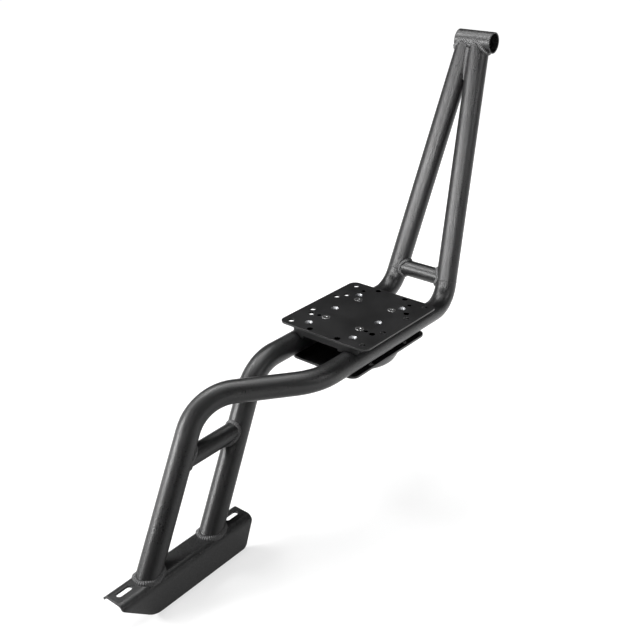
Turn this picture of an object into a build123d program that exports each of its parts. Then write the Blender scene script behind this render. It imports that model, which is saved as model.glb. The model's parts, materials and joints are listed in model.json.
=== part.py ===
from build123d import *
import math
import os

os.makedirs("parts", exist_ok=True)

# Everything is in mm. The origin is on the underside of the foot bracket's flange, midway between its
# two slots. Y runs along the foot bracket and the deck, towards the upright. Z is up.

# Round tube
tube_d = 32.0
tube_wall = 2.0
bar_d = 25.4
bar_wall = 2.0
weld_gap = 0.3

# Foot bracket, folded from sheet
foot_len = 228.0
foot_sheet = 3.0
foot_back = 8.2
foot_front = 21.0
foot_bend = 7.0
lip_bend = 4.0
lip_angle = 45.0
lip_run = 5.0
skirt_depth = 43.0
skirt_corner_drop = 4.0
skirt_front_slope = 51.0
skirt_front_round = 35.0
skirt_rear_slope = 20.0
skirt_rear_round = 8.0
slot_inset = 19.4
slot_len = 23.0
slot_w = 8.5

# Deck: device plate on top, a tube plate above and below the two tubes
deck_x = 14.0
deck_y = 362.1
deck_z = 212.7
plate_w = 155.0
plate_l = 183.0
plate_t = 2.5
plate_round = 12.0
tube_plate_w = 115.0
tube_plate_shift = 2.5
saddle_t = 8.5
saddle_rib_t = 3.0
saddle_rib_in = 18.0
under_t = 3.4
under_gap = 4.6
under_hole_x = 51.9
strip_w = 8.0
strip_end_gap = 6.0
disc_r = 59.5
disc_t = 16.0
disc_round = 14.0

# Tube paths, measured from the deck's centre
tube_half_gap = 48.6
rear_bend_y = 156.8
rear_bend_r = 42.0
front_bend_y = 157.1
front_bend_r = 90.0
side_bend_y = 284.8
side_bend_r = 70.0
far_bend_y = 174.1
far_bend_r = 74.0
leg_run_x = 36.7
leg_run_y = 140.0
leg_run_z = 195.0
foot_lap = 2.0

# Upright and its cross tube
upright_rise = 384.0
upright_lean = 0.3351
sleeve_half_gap = 10.3
sleeve_wall = 2.0
sleeve_len = 60.0
sleeve_shift = 4.3
upper_bar_rise = 37.6
lower_bar_drop = 71.3

# Plate holes: insets from the plate's edges, and half pitches across and along it
hole_d = 9.0
side_inset = 14.5
corner_inset = 12.5
side_half_pitch = 29.3
inner_x = 54.4
inner_y = 43.0
end_x = 24.4
end_inset = 7.5
screw_x = 30.3
screw_y = 39.8
small_hole_d = 6.5
small_x = 42.2
small_rear_y = 69.7
small_front_y = -40.8
insert_d = 12.0
insert_clear = 0.15
insert_bore_d = 6.0
insert_flare = 2.6
insert_depth = 9.0
insert_sink = 0.3
insert_x = 39.3
insert_rear_y = 53.9
insert_middle_y = -7.0
insert_front_y = -68.2
screw_d = 6.0
screw_head_d = 12.0
screw_head_angle = 90.0
screw_len = 14.0
screw_clear = 0.1
socket_af = 4.0
socket_depth = 2.4

tube_r = tube_d / 2
bar_r = bar_d / 2
sleeve_r = tube_d / 2
foot_top = foot_sheet
tube_z = deck_z - plate_t - saddle_t - tube_r
slot_pitch = foot_len - 2 * slot_inset
hole_side_x = plate_w / 2 - side_inset
corner_holes = (hole_side_x, plate_l / 2 - corner_inset)
side_holes = (hole_side_x, side_half_pitch)
inner_holes = (inner_x, inner_y)
end_holes = (end_x, plate_l / 2 - end_inset)
screw_holes = (screw_x, screw_y)


def pattern(pitch):
    return [(sx * pitch[0], sy * pitch[1]) for sx in (-1, 1) for sy in (-1, 1)]


def on_deck(points, z=0.0):
    return [Pos(deck_x + x, deck_y + y, z) for x, y in points]


def rod(path, radius):
    start = Plane(origin=path @ 0, z_dir=path % 0)
    return sweep(start * Circle(radius), path=path)


def straight(a, b, radius):
    a = Vector(*a)
    b = Vector(*b)
    axis = b - a
    return Solid.make_cylinder(radius, axis.length, Plane(origin=a, z_dir=axis))


def block(x0, x1, y0, y1, z0, z1):
    return Pos((x0 + x1) / 2, (y0 + y1) / 2, (z0 + z1) / 2) * Box(x1 - x0, y1 - y0, z1 - z0)


def slab(w, t, top, shift=0.0):
    face = RectangleRounded(w, plate_l, plate_round)
    return Pos(deck_x + shift, deck_y, top - t) * extrude(face, t)


def along_upright(side, rise):
    share = rise / upright_rise
    half = tube_half_gap + (sleeve_half_gap - tube_half_gap) * share
    return (deck_x + side * half, deck_y + rear_bend_y + upright_lean * rise, tube_z + rise)


def down_leg(start, drop):
    share = drop / leg_run_z
    return (start[0] + leg_run_x * share, start[1] - leg_run_y * share, start[2] - drop)


side_x = deck_x + tube_half_gap
far_x = deck_x - tube_half_gap
leg_top_near = (far_x, deck_y - side_bend_y, tube_z)
leg_top_far = (far_x, deck_y - far_bend_y, tube_z)
leg_drop = tube_z + foot_bend

near_points = [
    along_upright(1, upright_rise),
    along_upright(1, 0),
    (side_x, deck_y - front_bend_y, tube_z),
    leg_top_near,
    down_leg(leg_top_near, leg_drop),
]
far_points = [
    along_upright(-1, upright_rise),
    along_upright(-1, 0),
    leg_top_far,
    down_leg(leg_top_far, leg_drop),
]
near_path = FilletPolyline(near_points, radius=[rear_bend_r, front_bend_r, side_bend_r])
far_path = FilletPolyline(far_points, radius=[rear_bend_r, far_bend_r])

# Foot bracket: flange, rounded bend, a deep skirt with cut corners and a short rear lip
bend_out = foot_bend + foot_sheet
bend_x = foot_front - bend_out
bend_z = foot_top - bend_out
half_foot = foot_len / 2
envelope = block(-foot_back, bend_x, -half_foot, half_foot, -skirt_depth, foot_top)
envelope += block(bend_x, foot_front, -half_foot, half_foot, -skirt_depth, bend_z)
envelope += Pos(bend_x, 0, bend_z) * Rot(90, 0, 0) * Cylinder(bend_out, foot_len)
inside = block(-foot_back - 1, bend_x, -half_foot, half_foot, -skirt_depth - 1, 0)
inside += block(bend_x, foot_front - foot_sheet, -half_foot, half_foot, -skirt_depth - 1, bend_z)
inside += Pos(bend_x, 0, bend_z) * Rot(90, 0, 0) * Cylinder(foot_bend, foot_len)
bracket = envelope - inside
corner_z = -skirt_corner_drop
below = skirt_depth - skirt_corner_drop
front_run = below * math.tan(math.radians(skirt_front_slope))
rear_run = below * math.tan(math.radians(skirt_rear_slope))
outline = FilletPolyline(
    [
        (-half_foot, corner_z),
        (-half_foot + front_run, -skirt_depth),
        (half_foot - rear_run, -skirt_depth),
        (half_foot, corner_z),
    ],
    radius=[skirt_front_round, skirt_rear_round],
)
outline += Polyline([(half_foot, corner_z), (half_foot, foot_top), (-half_foot, foot_top), (-half_foot, corner_z)])
skirt_shape = Plane.YZ * make_face(outline)
keep = Pos(-foot_back, 0, 0) * extrude(skirt_shape, foot_back + foot_front, dir=(1, 0, 0))
bracket = bracket & keep
lip_out = lip_bend + foot_sheet
lip_z = foot_top - lip_out


def lip_point(radius, angle, run=0.0):
    turn = math.radians(angle)
    x = -foot_back - radius * math.sin(turn) - run * math.cos(turn)
    return (x, lip_z + radius * math.cos(turn) - run * math.sin(turn))


def lip_arc(radius):
    return ThreePointArc(*[lip_point(radius, lip_angle * share) for share in (0, 0.5, 1)])


lip_outline = lip_arc(lip_out) + lip_arc(lip_bend)
lip_outline += Polyline(
    [
        lip_point(lip_out, lip_angle),
        lip_point(lip_out, lip_angle, lip_run),
        lip_point(lip_bend, lip_angle, lip_run),
        lip_point(lip_bend, lip_angle),
    ]
)
lip_outline += Line(lip_point(lip_bend, 0), lip_point(lip_out, 0))
bracket += extrude(Plane.XZ * make_face(lip_outline), half_foot, both=True)
slot = extrude(Rot(0, 0, 90) * SlotOverall(slot_len, slot_w), foot_sheet * 3, both=True)
for sy in (-1, 1):
    bracket -= Pos(0, sy * slot_pitch / 2, 0) * slot

# Frame tubes: halves of one mitred and coped pair
sleeve_mid = along_upright(0, upright_rise)
sleeve_a = (deck_x + sleeve_shift - sleeve_len / 2, sleeve_mid[1], sleeve_mid[2])
sleeve_b = (deck_x + sleeve_shift + sleeve_len / 2, sleeve_mid[1], sleeve_mid[2])
big = 2000.0
foot_stop = block(-foot_back, bend_x, -big, big, -big, foot_top)
foot_stop += block(-big, big, -big, big, -big, foot_top - foot_lap)
for x, z, radius in ((bend_x, bend_z, bend_out), (-foot_back, lip_z, lip_out)):
    foot_stop += Pos(x, 0, z) * Rot(90, 0, 0) * Cylinder(radius + weld_gap, 2 * foot_len)
cope = straight(sleeve_a, sleeve_b, sleeve_r + weld_gap)


def frame_tube(path, side):
    tube = rod(path, tube_r) - rod(path, tube_r - tube_wall)
    tube -= foot_stop
    tube -= cope
    over = block(-big, deck_x, -big, big, -big, big) if side > 0 else block(deck_x, big, -big, big, -big, big)
    near_top = block(-big, big, -big, big, tube_z + upright_rise / 2, big)
    return tube - (over & near_top)


near_tube = frame_tube(near_path, 1)
far_tube = frame_tube(far_path, -1)
near_cut = rod(near_path, tube_r + weld_gap)
far_cut = rod(far_path, tube_r + weld_gap)


def cross_bar(a, b):
    bar = straight(a, b, bar_r) - straight(a, b, bar_r - bar_wall)
    return bar - near_cut - far_cut


upper_bar = cross_bar(along_upright(-1, upper_bar_rise), along_upright(1, upper_bar_rise))
lower_bar = cross_bar(down_leg(leg_top_near, lower_bar_drop), down_leg(leg_top_far, lower_bar_drop))
sleeve = straight(sleeve_a, sleeve_b, sleeve_r) - straight(sleeve_a, sleeve_b, sleeve_r - sleeve_wall)

# Deck plates
plate = slab(plate_w, plate_t, deck_z)
drill_len = 3 * (plate_t + saddle_t + saddle_rib_t)
large = [spot for pitch in (corner_holes, side_holes, inner_holes, end_holes) for spot in pattern(pitch)]
small = [(s * small_x, y) for s in (-1, 1) for y in (small_rear_y, small_front_y)]
deck_holes = [spot * Cylinder(hole_d / 2, drill_len) for spot in on_deck(large, deck_z)]
deck_holes += [spot * Cylinder(small_hole_d / 2, drill_len) for spot in on_deck(small, deck_z)]
for hole in deck_holes:
    plate -= hole
insert_rows = (insert_rear_y, insert_middle_y, insert_front_y)
insert_spots = [(s * insert_x, y) for y in insert_rows for s in (-1, 1)]
for spot in on_deck(insert_spots, deck_z):
    plate -= spot * Cylinder(insert_d / 2, plate_t * 3)
head_r = screw_head_d / 2
head_h = (head_r - screw_d / 2) / math.tan(math.radians(screw_head_angle / 2))


def screw_body(extra):
    head = Pos(0, 0, -head_h / 2) * Cone(screw_d / 2 + extra, head_r + extra, head_h)
    return head + Pos(0, 0, -screw_len / 2) * Cylinder(screw_d / 2 + extra, screw_len)


screw_spots = on_deck(pattern(screw_holes), deck_z)
for spot in screw_spots:
    plate -= spot * screw_body(screw_clear)

saddle_top = deck_z - plate_t
saddle = slab(tube_plate_w, saddle_t, saddle_top, tube_plate_shift)
ribs = slab(tube_plate_w, saddle_rib_t, saddle_top - saddle_t, tube_plate_shift)
rib_gap = 2 * (tube_half_gap - saddle_rib_in)
ribs -= block(deck_x - rib_gap / 2, deck_x + rib_gap / 2, deck_y - plate_l, deck_y + plate_l, 0, deck_z)
saddle = saddle + ribs - near_cut - far_cut
for spot in screw_spots:
    saddle -= spot * screw_body(screw_clear)
for spot in on_deck(insert_spots, saddle_top):
    saddle -= spot * Cylinder(insert_d / 2, saddle_t * 3)
for hole in deck_holes:
    saddle -= hole

under_top = tube_z - tube_r - under_gap
under = slab(tube_plate_w, under_t, under_top, tube_plate_shift)
for spot in on_deck(pattern((under_hole_x, inner_y)), under_top):
    under -= Pos(tube_plate_shift, 0, 0) * spot * Cylinder(small_hole_d / 2, under_t * 3)
strip_reach = plate_l / 2 - strip_end_gap


def spacer_strip(x, tube_cut):
    y0 = deck_y - strip_reach
    y1 = deck_y + strip_reach
    strip = block(x - strip_w / 2, x + strip_w / 2, y0, y1, under_top, tube_z - tube_r / 2)
    return strip - tube_cut


side_strip = spacer_strip(side_x, near_cut)
far_strip = spacer_strip(far_x, far_cut)
disc = Pos(deck_x, deck_y, under_top - under_t - disc_t / 2) * Cylinder(disc_r, disc_t)
disc = fillet(disc.edges().group_by(Axis.Z)[0], disc_round)

export_step(near_tube, "parts/side_tube.step")
export_step(far_tube, "parts/far_tube.step")
export_step(sleeve, "parts/top_sleeve.step")
export_step(upper_bar, "parts/upper_crossbar.step")
export_step(lower_bar, "parts/lower_crossbar.step")
export_step(bracket, "parts/foot_bracket.step")
export_step(plate, "parts/device_plate.step")
export_step(saddle, "parts/upper_tube_plate.step")
export_step(under, "parts/lower_tube_plate.step")
export_step(side_strip, "parts/side_spacer_strip.step")
export_step(far_strip, "parts/far_spacer_strip.step")
export_step(disc, "parts/underside_disc.step")

socket = extrude(RegularPolygon(socket_af / math.sqrt(3), 6), -socket_depth)
for i, spot in enumerate(screw_spots):
    export_step(spot * (screw_body(0.0) - socket), f"parts/plate_screw_{i + 1}.step")
ring = Cylinder(insert_d / 2 - insert_clear, insert_depth) - Cylinder(insert_bore_d / 2, insert_depth)
flare_r = insert_bore_d / 2 + insert_flare
ring -= Pos(0, 0, (insert_depth - insert_flare) / 2) * Cone(insert_bore_d / 2, flare_r, insert_flare)
for i, spot in enumerate(on_deck(insert_spots, deck_z - insert_sink - insert_depth / 2)):
    export_step(spot * ring, f"parts/threaded_insert_{i + 1}.step")
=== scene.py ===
import json
import math

import bmesh
import bpy
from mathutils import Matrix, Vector


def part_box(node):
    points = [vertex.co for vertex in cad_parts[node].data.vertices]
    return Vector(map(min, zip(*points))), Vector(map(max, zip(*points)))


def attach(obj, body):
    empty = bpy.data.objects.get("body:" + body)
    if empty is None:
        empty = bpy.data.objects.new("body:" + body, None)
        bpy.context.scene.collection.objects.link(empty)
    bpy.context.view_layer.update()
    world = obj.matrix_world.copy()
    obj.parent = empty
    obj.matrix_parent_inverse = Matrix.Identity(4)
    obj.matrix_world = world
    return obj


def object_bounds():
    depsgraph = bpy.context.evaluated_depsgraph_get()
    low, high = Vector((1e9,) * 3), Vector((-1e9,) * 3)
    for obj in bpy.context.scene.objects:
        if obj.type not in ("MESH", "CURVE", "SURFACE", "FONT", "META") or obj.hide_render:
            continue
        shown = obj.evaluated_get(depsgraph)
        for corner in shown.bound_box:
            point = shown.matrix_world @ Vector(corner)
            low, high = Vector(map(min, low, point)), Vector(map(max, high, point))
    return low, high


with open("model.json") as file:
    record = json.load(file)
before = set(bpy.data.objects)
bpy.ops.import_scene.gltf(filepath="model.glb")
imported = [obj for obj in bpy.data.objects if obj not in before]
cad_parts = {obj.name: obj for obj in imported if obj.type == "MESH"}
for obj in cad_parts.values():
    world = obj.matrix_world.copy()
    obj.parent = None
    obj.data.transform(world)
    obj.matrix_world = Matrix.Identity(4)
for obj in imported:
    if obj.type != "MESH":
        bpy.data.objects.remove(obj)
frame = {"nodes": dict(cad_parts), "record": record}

cad_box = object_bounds()
nodes = frame["nodes"]
mm = 0.001
x_way = Vector((1, 0, 0))
y_way = Vector((0, 1, 0))
z_way = Vector((0, 0, 1))

# Sizes that the welds follow, in mm and degrees, as the solids have them
deck = Vector((14.0, 362.1, 212.7))
tube_r = 16.0
bar_r = 12.7
sleeve_r = 16.0
tube_z = 185.7
tube_half_gap = 48.6
sleeve_half_gap = 10.3
rear_bend_y = 156.8
upright_rise = 384.0
sleeve_len = 60.0
sleeve_shift = 4.3
upright_lean = 0.3351
upper_bar_rise = 37.6
lower_bar_drop = 71.3
side_bend_y = 284.8
far_bend_y = 174.1
leg_run = Vector((36.7, -140.0, -195.0))
foot_top = 3.0
foot_front = 21.0
foot_back = 8.2
bend_out = 10.0
lip_out = 7.0
lip_angle = 45.0

# Radius of each bead and how far its middle stands off the two surfaces, in mm
foot_bead = (3.4, 0.4)
sleeve_bead = (3.3, 0.5)
seam_bead = (3.2, 0.6)
bar_bead = (2.6, 0.4)
bend_mark = (0.8, 0.0)

# How far up the uprights the marks lie, how far above its lowest point the seam ends, and how far inside
# the sleeve's ends its bead stays, in mm
bend_mark_rise = 35.0
seam_end_rise = 1.0
sleeve_end_gap = 1.5

# Mesh of every bead: the step between its rings and the least that counts as one, in mm, and its counts
bead_step = 0.45
smallest_step = 1e-9
bead_sides = 12
fewest_rings = 8

# Shape of every bead, in shares of its radius: its width, and how far it sinks into one flat surface
bead_width = 1.15
flat_sink = 0.62

# Ripples of every bead: their pitch in mm, their depth and form, and how far they lag at its sides
ripple_pitch = 2.6
ripple_depth = 0.26
ripple_power = 0.6
ripple_skew = 0.22

# Ends of an open bead: their size, and the share of its length over which it tapers
end_size = 0.75
end_share = 0.04

# Unevenness of a bead's size: its amount, its rate along the bead, the step that sets beads apart by the
# length of their names, and the share, rate and shift of each sine in its wave
swing = 0.05
swing_rate = 0.15
seed_step = 0.7
swing_waves = ((0.6, 1.7, 1.0), (0.4, 3.9, 2.3))

# Rings from which lines run to the foot and the sleeve: where they lie, in mm, how many lines start there,
# and over how many spots each way the corners of the sleeve's line are rounded
leg_ring_drop = 150.0
upright_ring_rise = 300.0
ring_spots = 240
sleeve_ring_spots = 480
corner_reach = 20

# Camera at the photograph's viewing angle, with its place in mm and its angles in degrees
focal_px = 944.1
centre_px = (311.2, 280.4)
image_px = 640.0
camera_yaw = 38.91
camera_pitch = 23.32
camera_place = (745.6, -655.8, 805.1)

cam_data = bpy.data.cameras.new("view_camera")
cam_data.sensor_width = 36.0
cam_data.lens = focal_px / image_px * cam_data.sensor_width
cam_data.shift_x = (image_px / 2 - centre_px[0]) / image_px
cam_data.shift_y = (centre_px[1] - image_px / 2) / image_px
cam_data.clip_start = 0.05
cam_data.clip_end = 50.0
camera = bpy.data.objects.new("view_camera", cam_data)
camera.location = Vector(camera_place) * mm
camera.rotation_euler = (math.radians(90.0 - camera_pitch), 0.0, math.radians(camera_yaw))
bpy.context.scene.collection.objects.link(camera)
bpy.context.scene.camera = camera


# Materials. Ranges are the values of each texture or mask between which it takes effect.
slow_scale = 22.0
slow_range = (0.3, 0.7)
patch_scale = 160.0
speck_scale = 1.1
speck_range = (0.35, 0.65)
edge_range = (0.995, 0.86)
# Painted shade in holes: the nearness values over which it sets in, and its black colour
painted_shade_range = (0.55, 0.8)
painted_shade_tone = (0.0003, 0.0003, 0.0003)


def new_material(name):
    mat = bpy.data.materials.new(name)
    mat.use_nodes = True
    return mat, mat.node_tree, mat.node_tree.nodes["Principled BSDF"]


def node(tree, kind, **values):
    made = tree.nodes.new(kind)
    for key, value in values.items():
        setattr(made, key, value)
    return made


def noise(tree, coords, scale, detail, rough):
    made = node(tree, "ShaderNodeTexNoise")
    made.inputs["Scale"].default_value = scale
    made.inputs["Detail"].default_value = detail
    made.inputs["Roughness"].default_value = rough
    tree.links.new(coords, made.inputs["Vector"])
    return made.outputs["Fac"]


def span(tree, value, lo, hi, out_lo, out_hi):
    """Turns a value between lo and hi into one between out_lo and out_hi."""
    made = node(tree, "ShaderNodeMapRange", clamp=True)
    for key, number in (("From Min", lo), ("From Max", hi), ("To Min", out_lo), ("To Max", out_hi)):
        made.inputs[key].default_value = number
    tree.links.new(value, made.inputs["Value"])
    return made.outputs["Result"]


def blend_colour(tree, factor, first, second):
    made = node(tree, "ShaderNodeMix", data_type="RGBA")
    tree.links.new(factor, made.inputs["Factor"])
    for socket, colour in (("A", first), ("B", second)):
        spot = [s for s in made.inputs if s.name == socket and s.type == "RGBA"][0]
        if isinstance(colour, tuple):
            spot.default_value = (*colour, 1.0)
        else:
            tree.links.new(colour, spot)
    return [s for s in made.outputs if s.type == "RGBA"][0]


def edge_mask(tree, radius):
    """Directions that are rounded at edges, and a mask of the places where the rounding turns them."""
    soft = node(tree, "ShaderNodeBevel", samples=6)
    soft.inputs["Radius"].default_value = radius
    hard = node(tree, "ShaderNodeNewGeometry")
    dot = node(tree, "ShaderNodeVectorMath", operation="DOT_PRODUCT")
    tree.links.new(soft.outputs["Normal"], dot.inputs[0])
    tree.links.new(hard.outputs["Normal"], dot.inputs[1])
    return soft.outputs["Normal"], span(tree, dot.outputs["Value"], *edge_range, 0.0, 1.0)


def coat(
    name, base, lift, rough, grain_scale, grain_depth, edge_radius, edge_wear_and_highlight_tone,
    rough_swing=0.06, metal=0.0, specular=0.5, wear_and_highlight_patches=(0.42, 0.66), painted_shade_reach=0.0, speck=0.03,
):
    """A coated or moulded surface: grain, slow tone and gloss changes, rubbed edges, which on the screws
    are a painted highlight all round, and painted shade that turns recesses black.
    """
    mat, tree, shader = new_material(name)
    coords = node(tree, "ShaderNodeTexCoord").outputs["Object"]
    fine = noise(tree, coords, grain_scale, detail=4.0, rough=0.6)
    specks = noise(tree, coords, grain_scale * speck_scale, detail=2.0, rough=0.5)
    slow = noise(tree, coords, slow_scale, detail=3.0, rough=0.55)
    soft_normal, edges = edge_mask(tree, edge_radius)
    body = blend_colour(tree, span(tree, slow, *slow_range, 0.0, 1.0), base, lift)
    patches = noise(tree, coords, patch_scale, detail=3.0, rough=0.6)
    edge_wear_and_highlight = node(tree, "ShaderNodeMath", operation="MULTIPLY")
    tree.links.new(edges, edge_wear_and_highlight.inputs[0])
    tree.links.new(span(tree, patches, *wear_and_highlight_patches, 0.0, 1.0), edge_wear_and_highlight.inputs[1])
    # Edges turn lighter: rubbed patches on most finishes, and on the screws a painted highlight all round
    colour = blend_colour(tree, edge_wear_and_highlight.outputs["Value"], body, edge_wear_and_highlight_tone)
    if painted_shade_reach:
        # Painted shade: where other surfaces close in within this distance, as in a hole, the surface
        # turns black and fully metallic, so that it reflects nothing
        nearby = node(tree, "ShaderNodeAmbientOcclusion", samples=8)
        nearby.inputs["Distance"].default_value = painted_shade_reach
        painted_shade = span(tree, nearby.outputs["AO"], *painted_shade_range, 1.0, 0.0)
        colour = blend_colour(tree, painted_shade, colour, painted_shade_tone)
        tree.links.new(painted_shade, shader.inputs["Metallic"])
    tree.links.new(colour, shader.inputs["Base Color"])
    gloss = node(tree, "ShaderNodeMath", operation="ADD")
    slow_gloss = span(tree, slow, *slow_range, rough - rough_swing, rough + rough_swing)
    tree.links.new(slow_gloss, gloss.inputs[0])
    tree.links.new(span(tree, specks, *speck_range, -speck, speck), gloss.inputs[1])
    tree.links.new(gloss.outputs["Value"], shader.inputs["Roughness"])
    bump = node(tree, "ShaderNodeBump")
    bump.inputs["Strength"].default_value = 1.0
    bump.inputs["Distance"].default_value = grain_depth
    tree.links.new(fine, bump.inputs["Height"])
    tree.links.new(soft_normal, bump.inputs["Normal"])
    tree.links.new(bump.outputs["Normal"], shader.inputs["Normal"])
    shader.inputs["Metallic"].default_value = metal
    shader.inputs["Specular IOR Level"].default_value = specular
    return mat


def set_material(piece, material):
    """Puts one material on a piece, in place of what it has."""
    piece.data.materials.clear()
    piece.data.materials.append(material)


powder = coat(
    "textured_black",
    base=(0.0034, 0.0034, 0.0036),
    lift=(0.0060, 0.0060, 0.0063),
    rough=0.38,
    rough_swing=0.02,
    speck=0.11,
    grain_scale=700.0,
    grain_depth=0.00026,
    edge_radius=0.0009,
    edge_wear_and_highlight_tone=(0.03, 0.03, 0.031),
)
# A lighter copy of the black coat for the weld beads: painted light, so the beads look as if they catch
# the light
weld_painted_lighter = coat(
    "textured_black_weld_painted_lighter",
    base=(0.034, 0.034, 0.0345),
    lift=(0.060, 0.060, 0.061),
    rough=0.40,
    speck=0.14,
    grain_scale=700.0,
    grain_depth=0.00022,
    edge_radius=0.0005,
    edge_wear_and_highlight_tone=(0.08, 0.08, 0.08),
)
plate_black = coat(
    "smooth_black",
    base=(0.0042, 0.0042, 0.0044),
    lift=(0.0065, 0.0065, 0.0068),
    rough=0.35,
    rough_swing=0.05,
    grain_scale=2600.0,
    grain_depth=0.00006,
    edge_radius=0.0005,
    edge_wear_and_highlight_tone=(0.03, 0.03, 0.031),
    painted_shade_reach=0.015,
)
plastic = coat(
    "black_plastic",
    base=(0.0030, 0.0030, 0.0031),
    lift=(0.0048, 0.0048, 0.0050),
    rough=0.46,
    specular=0.22,
    grain_scale=1900.0,
    grain_depth=0.00008,
    edge_radius=0.0008,
    edge_wear_and_highlight_tone=(0.03, 0.03, 0.03),
    painted_shade_reach=0.015,
)
# A lighter copy of the black plastic for the underside disc: painted light, as if it caught light from
# below
disc_painted_lighter = coat(
    "black_plastic_painted_lighter",
    base=(0.060, 0.060, 0.061),
    lift=(0.080, 0.080, 0.081),
    rough=0.38,
    rough_swing=0.05,
    specular=0.7,
    grain_scale=1900.0,
    grain_depth=0.00006,
    edge_radius=0.0008,
    edge_wear_and_highlight_tone=(0.05, 0.05, 0.05),
)
# Its edges all round take a light tone: a painted highlight ring round each screw head
screw_black = coat(
    "black_screw",
    base=(0.055, 0.055, 0.056),
    lift=(0.085, 0.084, 0.082),
    rough=0.34,
    rough_swing=0.07,
    metal=0.7,
    grain_scale=2400.0,
    grain_depth=0.00004,
    edge_radius=0.0009,
    edge_wear_and_highlight_tone=(0.6, 0.6, 0.6),
    wear_and_highlight_patches=(0.0, 0.2),
)
zinc = coat(
    "zinc_insert",
    base=(0.27, 0.275, 0.285),
    lift=(0.36, 0.365, 0.375),
    rough=0.42,
    rough_swing=0.08,
    metal=1.0,
    grain_scale=1800.0,
    grain_depth=0.00003,
    edge_radius=0.0003,
    edge_wear_and_highlight_tone=(0.85, 0.85, 0.86),
)

by_slot = {
    "textured_black": powder,
    "smooth_black": plate_black,
    "black_plastic": plastic,
    "black_screw": screw_black,
    "zinc_insert": zinc,
}
for part in frame["record"]["subparts"]:
    set_material(nodes[part["node"]], by_slot[part["material_slot"]])
set_material(nodes["underside_disc"], disc_painted_lighter)


# Places on the tubes and on the foot bracket
def mirror(way):
    return Vector((-way.x, way.y, way.z))


def along_upright(side, rise):
    """A place on an upright tube's middle line: side 1 or -1, or 0 for halfway between them."""
    half = tube_half_gap + (sleeve_half_gap - tube_half_gap) * rise / upright_rise
    return Vector((deck.x + side * half, deck.y + rear_bend_y + upright_lean * rise, tube_z + rise))


def down_leg(bend_y, drop):
    """A place on a leg's middle line, carried on straight from the tube's height."""
    top = Vector((deck.x - tube_half_gap, deck.y - bend_y, tube_z))
    return top + leg_run * (drop / -leg_run.z)


def across(axis, hint):
    """Two directions at right angles to an axis and to each other, the first one towards the hint."""
    first = (hint - axis * hint.dot(axis)).normalized()
    return first, axis.cross(first)


def round_ring(start, axis, radius, hint, count=ring_spots):
    """Points on a tube's skin round its axis, with their outward directions."""
    first, second = across(axis, hint)
    for i in range(count):
        turn = 2 * math.pi * i / count
        out = first * math.cos(turn) + second * math.sin(turn)
        yield start + out * radius, out


def hit_cylinder(point, way, centre, axis, radius):
    """The first place along a line where it meets a cylinder's skin, and the direction out of it there."""
    start = point - centre
    level_way = way - axis * way.dot(axis)
    level_start = start - axis * start.dot(axis)
    square = level_way.dot(level_way)
    double = 2 * level_way.dot(level_start)
    rest = level_start.dot(level_start) - radius * radius
    root = math.sqrt(max(double * double - 4 * square * rest, 0.0))
    spot = point + way * ((-double - root) / (2 * square))
    out = spot - centre
    out -= axis * out.dot(axis)
    return spot, out.normalized()


def hit_foot(point, way):
    """Where a line meets the foot bracket: its flat top, its rounded bend, its skirt or its rear lip."""
    bend_x = foot_front - bend_out
    bend_z = foot_top - bend_out
    lip_z = foot_top - lip_out
    flat = point + way * ((foot_top - point.z) / way.z)
    if -foot_back <= flat.x <= bend_x:
        return flat, z_way
    if flat.x < -foot_back:
        spot, out = hit_cylinder(point, way, Vector((-foot_back, 0, lip_z)), y_way, lip_out)
        turn = math.radians(lip_angle)
        slope = Vector((-math.sin(turn), 0, math.cos(turn)))
        if out.dot(x_way) >= slope.x:
            return spot, out
        edge = Vector((-foot_back, 0, lip_z)) + slope * lip_out
        return point + way * ((edge - point).dot(slope) / way.dot(slope)), slope
    spot, out = hit_cylinder(point, way, Vector((bend_x, 0, bend_z)), y_way, bend_out)
    if spot.z >= bend_z:
        return spot, out
    return point + way * ((foot_front - point.x) / way.x), x_way


# Weld beads. A spot is a place on the line where two surfaces meet and the direction out of each of them.
def even(spots, closed=True):
    """Spreads the spots evenly along their line."""
    ends = spots + [spots[0]] if closed else spots
    lengths = [0.0]
    for i in range(1, len(ends)):
        lengths.append(lengths[-1] + (ends[i][0] - ends[i - 1][0]).length)
    total = lengths[-1]
    count = max(fewest_rings, round(total / bead_step))
    out = []
    k = 0
    for i in range(count):
        want = total * i / (count if closed else count - 1)
        while k < len(ends) - 2 and lengths[k + 1] < want:
            k += 1
        share = (want - lengths[k]) / max(lengths[k + 1] - lengths[k], smallest_step)
        out.append(tuple(ends[k][n].lerp(ends[k + 1][n], share) for n in range(3)))
    return out


def rounded(spots, reach):
    """Rounds off a closed line of spots: each becomes the mean of its neighbours within reach."""
    count = len(spots)
    out = []
    for i in range(count):
        near = [spots[(i + k) % count] for k in range(-reach, reach + 1)]
        out.append(tuple(sum((spot[n] for spot in near), Vector()) / len(near) for n in range(3)))
    return out


def uneven(run, seed):
    """A wave between -1 and 1 that doesn't repeat along a bead."""
    return sum(share * math.sin(run * rate + seed * shift) for share, rate, shift in swing_waves)


def bead_line(spots, radius, offset):
    """A bead's middle line and its outward directions. It sinks in where the two surfaces face one way."""
    line = []
    outs = []
    for spot, one_out, other_out in spots:
        out = (one_out + other_out).normalized()
        flat = max(one_out.dot(other_out), 0.0) ** 2
        stand_off = (one_out + other_out) * (offset * (1.0 - flat))
        line.append(spot + stand_off - out * (flat_sink * radius * flat))
        outs.append(out)
    return line, outs


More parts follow.
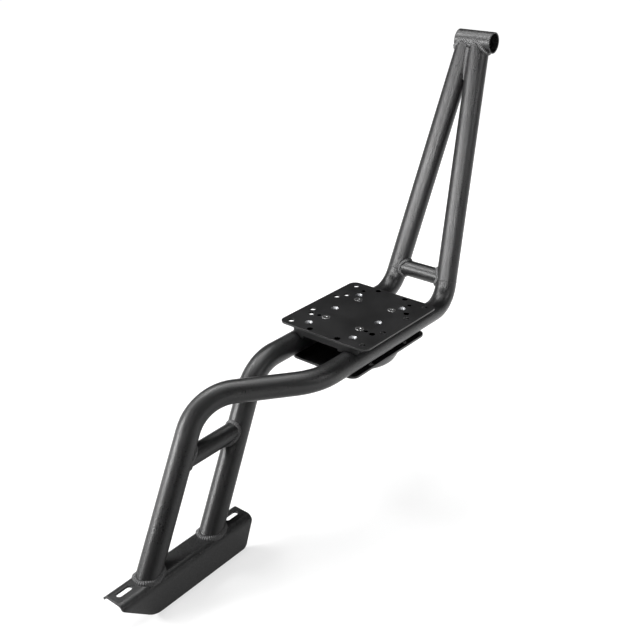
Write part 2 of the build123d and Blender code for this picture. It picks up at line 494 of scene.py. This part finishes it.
def bead_rings(mesh, line, outs, radius, closed, seed):
    """Rings of vertices along a bead, rippled and uneven, and thinner at the ends of an open one."""
    count = len(line)
    rings = []
    run = 0.0
    for i in range(count):
        before = line[i - 1] if closed or i else line[i]
        after = line[(i + 1) % count] if closed or i + 1 < count else line[i]
        along = (after - before).normalized()
        if i:
            run += (line[i] - line[i - 1]).length
        side = along.cross(outs[i]).normalized()
        up = side.cross(along).normalized()
        end = 1.0
        if not closed:
            end = min(1.0, end_size + (1.0 - end_size) * min(i, count - 1 - i) / (end_share * count))
        size = radius * end * (1.0 + swing * uneven(run * swing_rate, seed))
        ring = []
        for j in range(bead_sides):
            turn = 2 * math.pi * j / bead_sides
            wave = 0.5 + 0.5 * math.cos(2 * math.pi * (run / ripple_pitch + ripple_skew * math.cos(turn)))
            reach = size * (1.0 + ripple_depth * (wave ** ripple_power - 0.5))
            high = up * (reach * math.cos(turn))
            wide = side * (reach * bead_width * math.sin(turn))
            spot = (line[i] + high + wide) * mm
            # No bead reaches past the back of the solids
            spot.y = min(spot.y, cad_box[1][1])
            ring.append(mesh.verts.new(spot))
        rings.append(ring)
    return rings


def bead(name, spots, radius, offset, closed=True, finish=weld_painted_lighter):
    """A welded bead: a rippled roll along the line where two surfaces meet."""
    mesh = bmesh.new()
    line, outs = bead_line(spots, radius, offset)
    rings = bead_rings(mesh, line, outs, radius, closed, len(name) * seed_step)
    following = rings[1:] + rings[:1] if closed else rings[1:]
    for one, two in zip(rings, following):
        for j in range(bead_sides):
            k = (j + 1) % bead_sides
            mesh.faces.new((one[j], one[k], two[k], two[j]))
    if not closed:
        mesh.faces.new(rings[0])
        mesh.faces.new(rings[-1])
    bmesh.ops.recalc_face_normals(mesh, faces=mesh.faces)
    data = bpy.data.meshes.new(name)
    mesh.to_mesh(data)
    mesh.free()
    data.shade_smooth()
    obj = bpy.data.objects.new(name, data)
    bpy.context.scene.collection.objects.link(obj)
    data.materials.append(finish)
    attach(obj, "root")


# Foot: a bead round each leg
leg_way = leg_run.normalized()
for name, bend_y in (("side_foot_weld", side_bend_y), ("far_foot_weld", far_bend_y)):
    spots = []
    for point, out in round_ring(down_leg(bend_y, leg_ring_drop), leg_way, tube_r, x_way):
        spot, up = hit_foot(point, leg_way)
        spots.append((spot, out, up))
    bead(name, even(spots), *foot_bead)

# Sleeve: one bead round both mitred tubes, and the seam where they meet below it
sleeve_mid = along_upright(0, upright_rise)
upright_way = (along_upright(1, upright_rise) - along_upright(1, 0.0)).normalized()
upright_ring = along_upright(1, upright_ring_rise)
half_loop = []
seam = []
for point, out in round_ring(upright_ring, upright_way, tube_r, -x_way, sleeve_ring_spots):
    spot, up = hit_cylinder(point, upright_way, sleeve_mid, x_way, sleeve_r)
    if spot.x >= deck.x:
        half_loop.append((spot, out, up))
    else:
        share = (deck.x - point.x) / upright_way.x
        seam.append((point + upright_way * share, out, mirror(out)))
far_half = []
for spot, out, up in reversed(half_loop):
    far_half.append((Vector((2 * deck.x - spot.x, spot.y, spot.z)), mirror(out), mirror(up)))
sleeve_loop = []
sleeve_reach = sleeve_len / 2 - sleeve_end_gap
for spot, out, up in rounded(even(half_loop + far_half), corner_reach):
    spot.x = min(max(spot.x, deck.x + sleeve_shift - sleeve_reach), deck.x + sleeve_shift + sleeve_reach)
    sleeve_loop.append((spot, out.normalized(), up.normalized()))
bead("sleeve_weld", sleeve_loop, *sleeve_bead)
seam_order = sorted(seam, key=lambda s: math.atan2(s[1].y, -s[1].x))
seam_end = min(spot.z for spot, out, up in seam) + seam_end_rise
for name, side in (("upright_seam_front_weld", -1), ("upright_seam_rear_weld", 1)):
    spots = [s for s in seam_order if s[1].y * side > 0 and s[0].z > seam_end]
    bead(name, even(spots, closed=False), *seam_bead, closed=False)

# Cross tubes: a bead round each end
far_upright_way = mirror(upright_way)
upper_middle = along_upright(0, upper_bar_rise)
lower_middle = (down_leg(side_bend_y, lower_bar_drop) + down_leg(far_bend_y, lower_bar_drop)) / 2
bars = (
    ("upper_bar_side_weld", upper_middle, x_way, along_upright(1, 0.0), upright_way),
    ("upper_bar_far_weld", upper_middle, -x_way, along_upright(-1, 0.0), far_upright_way),
    ("lower_bar_side_weld", lower_middle, -y_way, down_leg(side_bend_y, 0.0), leg_way),
    ("lower_bar_far_weld", lower_middle, y_way, down_leg(far_bend_y, 0.0), leg_way),
)
for name, middle, way, tube_point, tube_way in bars:
    spots = []
    for point, out in round_ring(middle, way, bar_r, z_way):
        spot, up = hit_cylinder(point, way, tube_point, tube_way, tube_r)
        spots.append((spot, out, up))
    bead(name, even(spots), *bar_bead)

# A faint ring round each upright tube where its bend starts
for name, side, way in (("side_bend_mark", 1, upright_way), ("far_bend_mark", -1, far_upright_way)):
    ring = round_ring(along_upright(side, bend_mark_rise), way, tube_r, x_way)
    bead(name, even([(spot, out, out) for spot, out in ring]), *bend_mark, finish=powder)

# Floor and backdrop. For each kind of ray that sees the floor glow: the distances from its middle, in
# metres, between which the glow rises to full white, and the glow nearer than that
floor_glows = (
    ("Is Camera Ray", 0.35, 1.6, 0.60),
    ("Is Glossy Ray", 0.3, 0.7, 0.3),
)
floor_size = 60.0
floor_gap = 0.0005
floor_tone = (0.42, 0.42, 0.42)
floor_rough = 0.9
sky_level = 0.06
white = (1.0, 1.0, 1.0, 1.0)

floor_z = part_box("foot_bracket")[0].z
bpy.ops.mesh.primitive_plane_add(size=floor_size, location=(0.0, 0.0, floor_z - floor_gap))
floor = bpy.context.object
floor.name = "floor"
floor_mat, floor_tree, floor_shader = new_material("floor_white")
floor_shader.inputs["Base Color"].default_value = (*floor_tone, 1.0)
floor_shader.inputs["Roughness"].default_value = floor_rough
floor_shader.inputs["Specular IOR Level"].default_value = 0.0
floor_shader.inputs["Emission Color"].default_value = white
light_path = node(floor_tree, "ShaderNodeLightPath")
distance = node(floor_tree, "ShaderNodeVectorMath", operation="LENGTH")
floor_tree.links.new(node(floor_tree, "ShaderNodeTexCoord").outputs["Object"], distance.inputs[0])
glow = node(floor_tree, "ShaderNodeMath", operation="ADD")
for socket, (ray, near, far, lowest) in enumerate(floor_glows):
    share = node(floor_tree, "ShaderNodeMath", operation="MULTIPLY")
    floor_tree.links.new(light_path.outputs[ray], share.inputs[0])
    brightness = span(floor_tree, distance.outputs["Value"], near, far, lowest, 1.0)
    floor_tree.links.new(brightness, share.inputs[1])
    floor_tree.links.new(share.outputs["Value"], glow.inputs[socket])
floor_tree.links.new(glow.outputs["Value"], floor_shader.inputs["Emission Strength"])
floor.data.materials.append(floor_mat)

world = bpy.data.worlds.new("studio")
bpy.context.scene.world = world
world.use_nodes = True
world_tree = world.node_tree
sky = world_tree.nodes["Background"]
sky.inputs["Color"].default_value = white
sky_ray = node(world_tree, "ShaderNodeLightPath").outputs["Is Camera Ray"]
world_tree.links.new(span(world_tree, sky_ray, 0.0, 1.0, sky_level, 1.0), sky.inputs["Strength"])

# Each lamp stands on a dome round the place that it lights: degrees from the camera's side to its left,
# degrees up, size in metres across and high, power in watts and beam spread in degrees
frame_middle = Vector((0.0, 0.3, 0.15))
upright_middle = Vector((0.014, 0.58, 0.40))
lamp_distance = 1.8
lamps = (
    ("key_light", frame_middle, 78.0, 20.0, 0.6, 0.45, 32.0, 180.0),
    ("high_key_light", frame_middle, 108.0, 35.0, 0.6, 0.45, 7.0, 180.0),
    ("side_fill", frame_middle, -60.0, 26.0, 0.6, 0.45, 5.0, 180.0),
    ("back_light", frame_middle, 180.0, 70.0, 0.5, 0.6, 8.5, 180.0),
    ("left_top_light", frame_middle, 116.0, 58.0, 0.5, 0.6, 19.0, 180.0),
    ("overhead_light", frame_middle, 0.0, 90.0, 1.6, 1.0, 15.0, 180.0),
    ("upright_left_light", upright_middle, 45.0, 12.0, 0.6, 0.5, 1.0, 30.0),
    ("upright_front_light", upright_middle, 10.0, 10.0, 0.6, 0.5, 0.9, 30.0),
)
yaw = math.radians(camera_yaw)
to_camera = Vector((math.sin(yaw), -math.cos(yaw), 0.0))
to_left = Vector((-math.cos(yaw), -math.sin(yaw), 0.0))
for name, target, side_angle, up_angle, width, height, watts, beam in lamps:
    turn = math.radians(side_angle)
    rise = math.radians(up_angle)
    level = to_camera * math.cos(turn) + to_left * math.sin(turn)
    way = level * math.cos(rise) + Vector((0.0, 0.0, math.sin(rise)))
    data = bpy.data.lights.new(name, "AREA")
    data.shape = "RECTANGLE"
    data.size = width
    data.size_y = height
    data.energy = watts
    data.spread = math.radians(beam)
    obj = bpy.data.objects.new(name, data)
    obj.location = target + way * lamp_distance
    obj.rotation_euler = (-way).to_track_quat("-Z", "Y").to_euler()
    bpy.context.scene.collection.objects.link(obj)

bpy.context.scene.view_settings.view_transform = "Standard"
